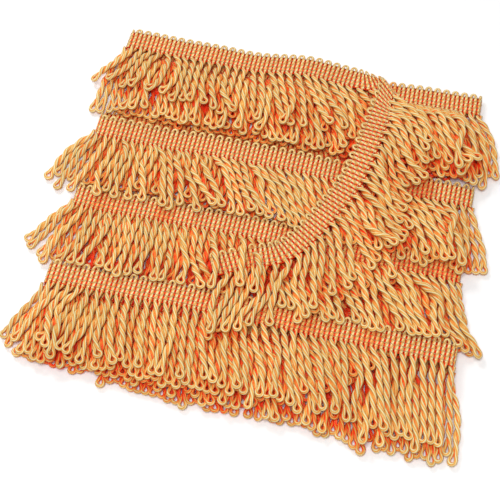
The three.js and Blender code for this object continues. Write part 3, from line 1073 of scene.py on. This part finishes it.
# Ropes of COVERED courses are light all through. Headings of HIDDEN courses have plain ribs, except near
# the folds, which show at both ends of the rows
COVERED = ("row2_under", "row3_under")
HIDDEN = ("row3_under", "row4_under", "row4_low")
RIGHT_FOLDS = 210.0
NEAR_FOLD = 16.0

for c, course in enumerate(COURSES):
    for node, first, last in STRETCHES.get(course["name"], [(course["name"], -FAR, FAR)]):
        rows = []
        for r, (i, owner_course, turn) in enumerate(roots):
            if owner_course != c or not first <= middle[i, 0] < last:
                continue
            start = r * GUIDE_POINTS
            form = int(random.choice(len(ROPE_KINDS), p=KIND_SHARES))
            if course["name"] in COVERED or course.get("sets", 1) > turn + 1:
                form += len(ROPE_KINDS)
            rows.append((form, float(start), float(start), float(start + GUIDE_POINTS - 1),
                         float(random.uniform())))
        ropes = lay(f"ropes_{node}", tree, rope_guide, rope_forms, GUIDE_STEP, 1.0, rope_yarn, rows)
        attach(ropes, "root")
        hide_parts(f"fringe_{node}")

for c, course in enumerate(COURSES):
    rows = []
    for i, place_course in places:
        if place_course != c:
            continue
        from_fold = min(abs(middle[i, 0] - ROWS[0]["left"]), RIGHT_FOLDS - middle[i, 0])
        plain = course["name"] in HIDDEN and course_at[i] % 1 == 0 and from_fold >= NEAR_FOLD
        rows.append((int(plain), float(i), 0.0, float(len(middle) - 2), float(random.uniform(0.2, 0.8))))
    ribs = lay(f"ribs_{course['name']}", tree, heading_guide, rib_forms, STEP, 0.0, rib_yarn, rows)
    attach(ribs, "root")


# The ground reaches a little past the heading's front edge, under the ropes' roots, where its deep red fills
# the gaps as painted shade.
GROUND_BACK = -HEADING / 2 + 2.0
GROUND_FRONT = HEADING / 2 + 0.9


def ground_strip():
    """The heading's ground: a thin closed strip through all its folds, coloured deep red as painted shade
    where it shows between the ribs and under the ropes' roots.
    """
    back, front, thick = GROUND_BACK, GROUND_FRONT, 0.2
    ring = [(back, thick), (1, thick), (front, thick), (front, -thick), (1, -thick), (back, -thick)]
    run = slice(places[0][0] - 1, places[-1][0] + 2)
    corners = np.stack([middle[run] + across[run] * w + face[run] * t for w, t in ring], axis=1)
    length = len(corners)
    corners = corners.reshape(-1, 3)
    n = len(ring)
    faces, uvs = [], []
    for k in range(length - 1):
        for s in range(n):
            t = (s + 1) % n
            faces.append((k * n + s, (k + 1) * n + s, (k + 1) * n + t, k * n + t))
            a, b = s / n, (s + 1) / n
            uvs += [(a, k * STEP), (a, (k + 1) * STEP), (b, (k + 1) * STEP), (b, k * STEP)]
    last = (length - 1) * n
    faces.append(tuple(range(n)))
    faces.append(tuple(last + s for s in reversed(range(n))))
    uvs += [(0.5, 0.0)] * (2 * n)
    mesh = bpy.data.meshes.new("heading_ground")
    mesh.from_pydata(((corners + PLACE) * MM).tolist(), [], faces)
    layer = mesh.uv_layers.new(name="yarn")
    layer.data.foreach_set("uv", np.array(uvs, np.float32).ravel())
    mesh.polygons.foreach_set("use_smooth", [True] * len(mesh.polygons))
    mesh.materials.append(painted_shade_ground)
    ground = bpy.data.objects.new("heading_ground", mesh)
    bpy.context.scene.collection.objects.link(ground)
    return ground


ground = ground_strip()
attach(ground, "root")
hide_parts("heading")

for helper in (rope_guide, heading_guide):
    bpy.data.objects.remove(helper)
for group in (rope_forms, rib_forms):
    for form in list(group.objects):
        bpy.data.objects.remove(form)
    bpy.data.collections.remove(group)

# Floor, light and camera

floor_mesh = bpy.data.meshes.new("floor")
FLOOR = 3.0  # half its width
floor_mesh.from_pydata([(-FLOOR, -FLOOR, 0), (FLOOR, -FLOOR, 0), (FLOOR, FLOOR, 0), (-FLOOR, FLOOR, 0)], [],
                       [(0, 1, 2, 3)])
floor_mesh.materials.append(floor_finish())
floor = bpy.data.objects.new("floor", floor_mesh)
bpy.context.scene.collection.objects.link(floor)


def area_light(name, place, size, power):
    """A round light that faces the middle of the bundle."""
    light = bpy.data.lights.new(name, "AREA")
    light.shape = "DISK"
    light.size, light.energy = size, power
    lamp = bpy.data.objects.new(name, light)
    lamp.location = place
    lamp.rotation_euler = (-Vector(place)).to_track_quat("-Z", "Y").to_euler()
    bpy.context.scene.collection.objects.link(lamp)


area_light("key", (0.0, -0.3, 0.88), 0.4, 5.4)
area_light("side", (-0.42, 0.42, 0.62), 0.3, 2.6)
world = bpy.data.worlds.new("studio")
bpy.context.scene.world = world
world.use_nodes = True
world.node_tree.nodes["Background"].inputs["Color"].default_value = (1, 1, 1, 1)
world.node_tree.nodes["Background"].inputs["Strength"].default_value = 0.42

AZIMUTH, ELEVATION = math.radians(12.9), math.radians(62.0)
DISTANCE, LENS = 0.607, 85.0
TARGET = Vector((np.array([97.2, -122.1, 8.0]) + PLACE) * MM)
towards = Vector((math.sin(AZIMUTH) * math.cos(ELEVATION), -math.cos(AZIMUTH) * math.cos(ELEVATION),
                  math.sin(ELEVATION)))
lens = bpy.data.cameras.new("camera")
lens.lens, lens.sensor_width = LENS, 36.0
lens.clip_start = 0.01
camera = bpy.data.objects.new("camera", lens)
camera.location = TARGET + towards * DISTANCE
camera.rotation_euler = (-towards).to_track_quat("-Z", "Y").to_euler()
bpy.context.scene.collection.objects.link(camera)
bpy.context.scene.camera = camera
bpy.context.scene.view_settings.view_transform = "Standard"
